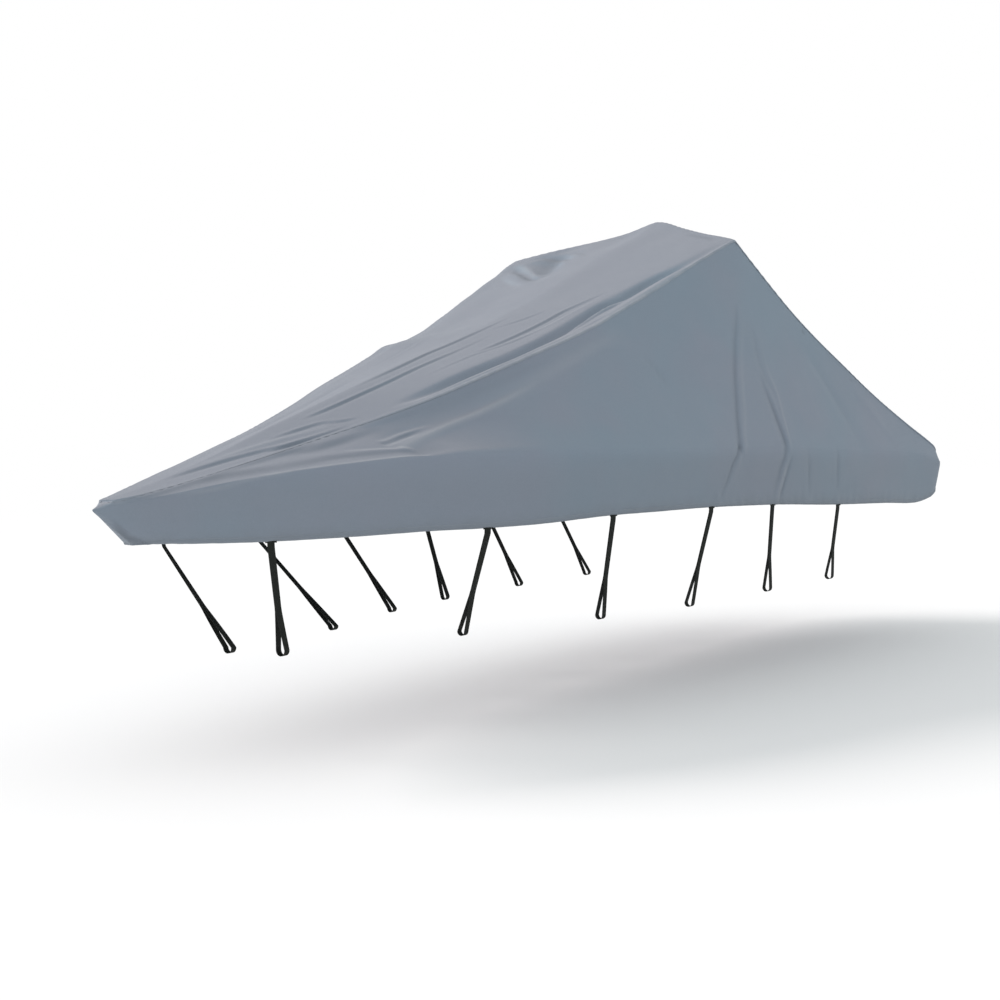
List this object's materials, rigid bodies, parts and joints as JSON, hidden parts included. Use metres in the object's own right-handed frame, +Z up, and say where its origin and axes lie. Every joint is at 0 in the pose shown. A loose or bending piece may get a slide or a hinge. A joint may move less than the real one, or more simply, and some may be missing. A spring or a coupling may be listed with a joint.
{
  "type": "boat cover",
  "caption": "Fitted cloth cover for a tow boat with a tower, hollow, with a ridge seam on each side and webbing ties at its hem.",
  "frame": {"origin": "on the underside of the cloth at its crown, where the boat's tower carries it", "axes": "+X towards the bow, +Y to port, +Z up"},
  "size_m": [7.0539, 2.4426, 2.5215],
  "materials": {
    "cover_cloth": "matt woven marine polyester, blue-grey",
    "webbing": "black woven webbing"
  },
  "bodies": {
    "root": {"fore_panel": "cover_cloth", "aft_panel": "cover_cloth", "side_panel_port": "cover_cloth", "side_panel_starboard": "cover_cloth", "tab_port_1": "webbing", "tie_port_1": "webbing", "tab_port_2": "webbing", "tie_port_2": "webbing", "tab_port_3": "webbing", "tie_port_3": "webbing", "tab_port_4": "webbing", "tie_port_4": "webbing", "tab_port_5": "webbing", "tie_port_5": "webbing", "tab_port_6": "webbing", "tie_port_6": "webbing", "tab_starboard_1": "webbing", "tie_starboard_1": "webbing", "tab_starboard_2": "webbing", "tie_starboard_2": "webbing", "tab_starboard_3": "webbing", "tie_starboard_3": "webbing", "tab_starboard_4": "webbing", "tie_starboard_4": "webbing", "tab_starboard_5": "webbing", "tie_starboard_5": "webbing", "tab_starboard_6": "webbing", "tie_starboard_6": "webbing"}
  },
  "joints": []
}
